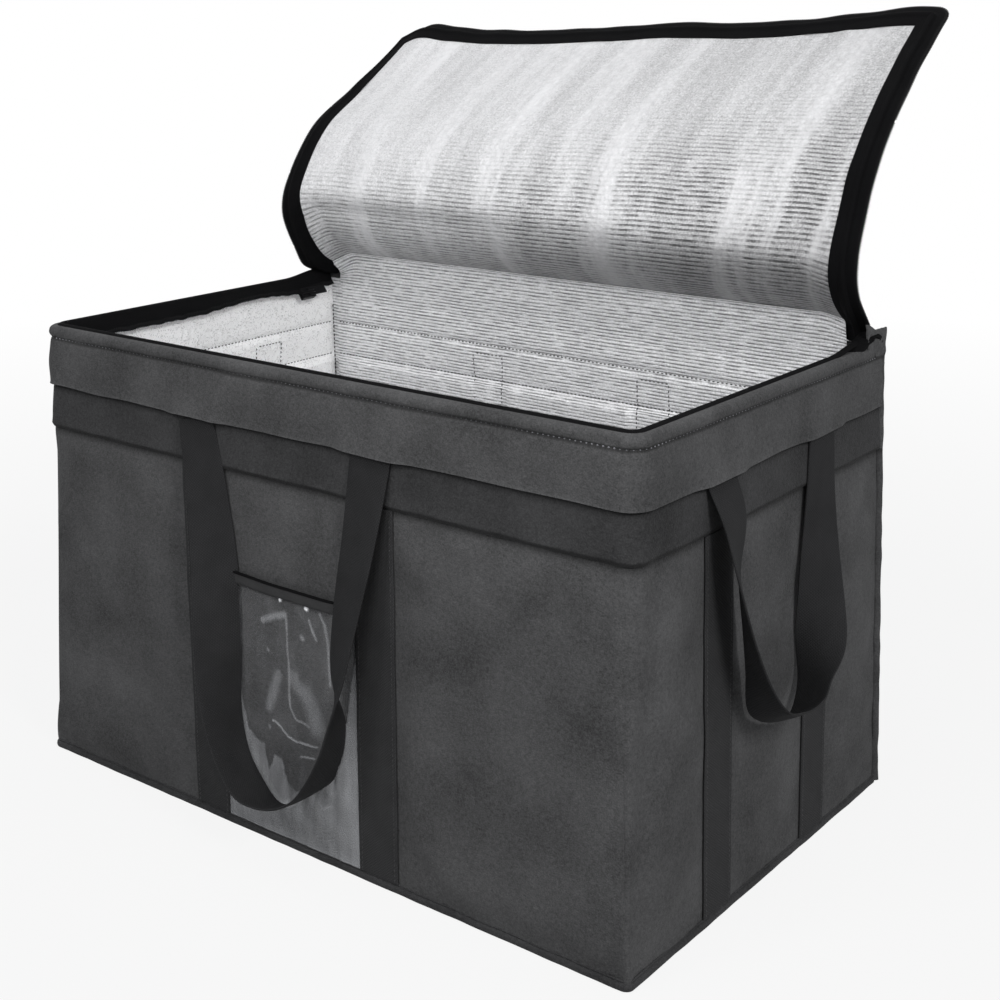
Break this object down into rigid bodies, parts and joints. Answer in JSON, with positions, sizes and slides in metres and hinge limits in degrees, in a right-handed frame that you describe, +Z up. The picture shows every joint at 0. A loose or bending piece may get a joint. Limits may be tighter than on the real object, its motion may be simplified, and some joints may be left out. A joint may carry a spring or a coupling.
{
  "type": "insulated carrier bag",
  "caption": "Large soft box bag with foam walls, foil lining, zipped lid, webbing strips and handles, and a clear pocket.",
  "frame": {"origin": "centre of the underside", "axes": "+X to the right along the front wall, +Y from the front wall to the rear wall, +Z up"},
  "size_m": [0.6952, 0.5207, 0.6294],
  "materials": {
    "cover_fabric": "matt mottled non-woven felt",
    "stripe_fabric": "matt, slightly darker",
    "webbing": "woven, matt",
    "binding_tape": "woven tape, near black",
    "foil": "bright metallised film",
    "foam": "matt closed-cell foam",
    "board": "satin",
    "clear_film": "clear, glossy",
    "dark_metal": "dark plated"
  },
  "bodies": {
    "bag": {"base_cover": "cover_fabric", "base_board": "board", "base_foam": "foam", "base_lining": "foil", "front_and_side_cover": "cover_fabric", "rear_cover": "cover_fabric", "front_foam": "foam", "left_foam": "foam", "right_foam": "foam", "rear_foam": "foam", "front_lining": "foil", "left_lining": "foil", "right_lining": "foil", "rear_lining": "foil", "rim_band_front_and_sides": "cover_fabric", "rim_band_rear": "cover_fabric", "stripe_front_and_sides": "stripe_fabric", "stripe_rear": "stripe_fabric", "strip_front_1": "webbing", "strip_front_2": "webbing", "strip_rear_1": "webbing", "strip_rear_2": "webbing", "strip_left_1": "webbing", "strip_left_2": "webbing", "strip_right_1": "webbing", "strip_right_2": "webbing", "pocket_film": "clear_film", "pocket_mouth_binding": "binding_tape", "base_binding": "binding_tape", "corner_cord_rear_left": "binding_tape", "corner_cord_rear_right": "binding_tape", "zip_tape_body": "binding_tape"},
    "lid_length_1": {"lid_cover_1": "cover_fabric", "lid_foam_1": "foam", "lid_lining_1": "foil", "lid_zip_tape_left_1": "binding_tape", "lid_zip_tape_right_1": "binding_tape"},
    "lid_length_2": {"lid_cover_2": "cover_fabric", "lid_foam_2": "foam", "lid_lining_2": "foil", "lid_zip_tape_left_2": "binding_tape", "lid_zip_tape_right_2": "binding_tape"},
    "lid_length_3": {"lid_cover_3": "cover_fabric", "lid_foam_3": "foam", "lid_lining_3": "foil", "lid_zip_tape_left_3": "binding_tape", "lid_zip_tape_right_3": "binding_tape"},
    "lid_length_4": {"lid_cover_4": "cover_fabric", "lid_foam_4": "foam", "lid_lining_4": "foil", "lid_zip_tape_end_4": "binding_tape"},
    "handle_front": {"handle_front": "webbing"},
    "handle_rear": {"handle_rear": "webbing"},
    "handle_left": {"handle_left": "webbing"},
    "handle_right": {"handle_right": "webbing"},
    "zip_slider_left": {"zip_slider_left": "dark_metal"},
    "zip_pull_left": {"zip_pull_left": "dark_metal"},
    "zip_slider_right": {"zip_slider_right": "dark_metal"},
    "zip_pull_right": {"zip_pull_right": "dark_metal"}
  },
  "joints": [
    {"name": "lid_hinge", "type": "hinge", "parent": "bag", "child": "lid_length_1", "pos_m": [0, 0.1655, 0.3842], "axis": [-1, 0, 0], "range_deg": [-51, 30]},
    {"name": "lid_bend_1", "type": "hinge", "parent": "lid_length_1", "child": "lid_length_2", "pos_m": [0, 0.11838, 0.44827], "axis": [-1, 0, 0], "range_deg": [-63.55, 37.4]},
    {"name": "lid_bend_2", "type": "hinge", "parent": "lid_length_2", "child": "lid_length_3", "pos_m": [0, 0.14858, 0.51453], "axis": [-1, 0, 0], "range_deg": [-25.05, 14.76]},
    {"name": "lid_bend_3", "type": "hinge", "parent": "lid_length_3", "child": "lid_length_4", "pos_m": [0, 0.2115, 0.56827], "axis": [-1, 0, 0], "range_deg": [-5.55, 3.29]},
    {"name": "handle_front_swing", "type": "hinge", "parent": "bag", "child": "handle_front", "pos_m": [-0.018, -0.17514, 0.3307], "axis": [-1, 0, 0], "range_deg": [0, 160]},
    {"name": "handle_rear_swing", "type": "hinge", "parent": "bag", "child": "handle_rear", "pos_m": [0, 0.17514, 0.3307], "axis": [-1, 0, 0], "range_deg": [-145, 0]},
    {"name": "handle_left_swing", "type": "hinge", "parent": "bag", "child": "handle_left", "pos_m": [-0.29462, 0, 0.3307], "axis": [0, 1, 0], "range_deg": [0, 160]},
    {"name": "handle_right_swing", "type": "hinge", "parent": "bag", "child": "handle_right", "pos_m": [0.29462, 0, 0.3307], "axis": [0, -1, 0], "range_deg": [0, 160]},
    {"name": "zip_slider_left_travel", "type": "slide", "parent": "bag", "child": "zip_slider_left", "axis": [0, 1, 0], "range_m": [-0.258, 0]},
    {"name": "zip_slider_right_travel", "type": "slide", "parent": "bag", "child": "zip_slider_right", "axis": [0, 1, 0], "range_m": [-0.258, 0]},
    {"name": "zip_pull_left_swing", "type": "hinge", "parent": "zip_slider_left", "child": "zip_pull_left", "pos_m": [-0.27107, 0.118, 0.36919], "axis": [0.5736, 0, -0.8192], "range_deg": [0, 120]},
    {"name": "zip_pull_right_swing", "type": "hinge", "parent": "zip_slider_right", "child": "zip_pull_right", "pos_m": [0.27107, 0.118, 0.36919], "axis": [0.5736, 0, 0.8192], "range_deg": [0, 120]}
  ],
  "couplings": [
    {"joint": "lid_bend_1", "follows": "lid_hinge", "ratio": 1.2451},
    {"joint": "lid_bend_2", "follows": "lid_hinge", "ratio": 0.4902},
    {"joint": "lid_bend_3", "follows": "lid_hinge", "ratio": 0.10784}
  ]
}
